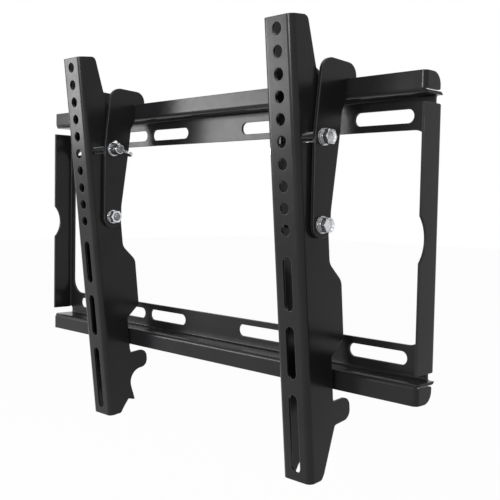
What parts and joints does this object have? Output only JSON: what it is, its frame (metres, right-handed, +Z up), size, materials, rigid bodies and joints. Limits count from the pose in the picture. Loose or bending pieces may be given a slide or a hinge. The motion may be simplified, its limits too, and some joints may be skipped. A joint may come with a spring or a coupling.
{
  "type": "tv wall mount",
  "caption": "Tilting wall mount for a flat screen: folded black steel wall plate with a rail along its top and bottom, and tall channel arms that hook on, slide and tilt.",
  "frame": {"origin": "on the wall face, at the middle of the wall plate's slot pattern", "axes": "+X along the wall to the right as seen from the room, +Y into the wall, +Z up"},
  "size_m": [0.446, 0.0788, 0.3221],
  "materials": {
    "plate_coat": "satin black powder coat",
    "arm_coat": "satin black powder coat",
    "hook_coat": "satin black powder coat",
    "zinc": "bright zinc plating",
    "nylon": "moulded nylon"
  },
  "bodies": {
    "wall_plate": {"wall_plate": "plate_coat"},
    "right_bracket": {"right_outer_hook_plate": "hook_coat", "right_inner_hook_plate": "hook_coat", "right_friction_washers": "nylon", "right_flat_washers": "zinc", "right_lock_washers": "zinc", "right_pivot_bolt": "zinc", "right_tilt_bolt": "zinc", "right_pivot_nut": "zinc"},
    "right_arm": {"right_arm": "arm_coat"},
    "right_wing_nut": {"right_wing_nut": "zinc"},
    "left_bracket": {"left_outer_hook_plate": "hook_coat", "left_inner_hook_plate": "hook_coat", "left_friction_washers": "nylon", "left_flat_washers": "zinc", "left_lock_washers": "zinc", "left_pivot_bolt": "zinc", "left_tilt_bolt": "zinc", "left_pivot_nut": "zinc"},
    "left_arm": {"left_arm": "arm_coat"},
    "left_wing_nut": {"left_wing_nut": "zinc"}
  },
  "joints": [
    {"name": "right_slide", "type": "slide", "parent": "wall_plate", "child": "right_bracket", "axis": [1, 0, 0], "range_m": [-0.0965, 0.0615]},
    {"name": "right_tilt", "type": "hinge", "parent": "right_bracket", "child": "right_arm", "pos_m": [0.1415, -0.0445, 0.008], "axis": [1, 0, 0], "range_deg": [-10.4, 1.3]},
    {"name": "right_wing_turn", "type": "hinge", "parent": "right_bracket", "child": "right_wing_nut", "pos_m": [0.1228, -0.0445, 0.068], "axis": [1, 0, 0], "continuous": true},
    {"name": "left_slide", "type": "slide", "parent": "wall_plate", "child": "left_bracket", "axis": [1, 0, 0], "range_m": [-0.0995, 0.0585]},
    {"name": "left_tilt", "type": "hinge", "parent": "left_bracket", "child": "left_arm", "pos_m": [-0.1035, -0.0445, 0.008], "axis": [1, 0, 0], "range_deg": [-11.5, 0.2]},
    {"name": "left_wing_turn", "type": "hinge", "parent": "left_bracket", "child": "left_wing_nut", "pos_m": [-0.0848, -0.0445, 0.068], "axis": [1, 0, 0], "continuous": true}
  ]
}
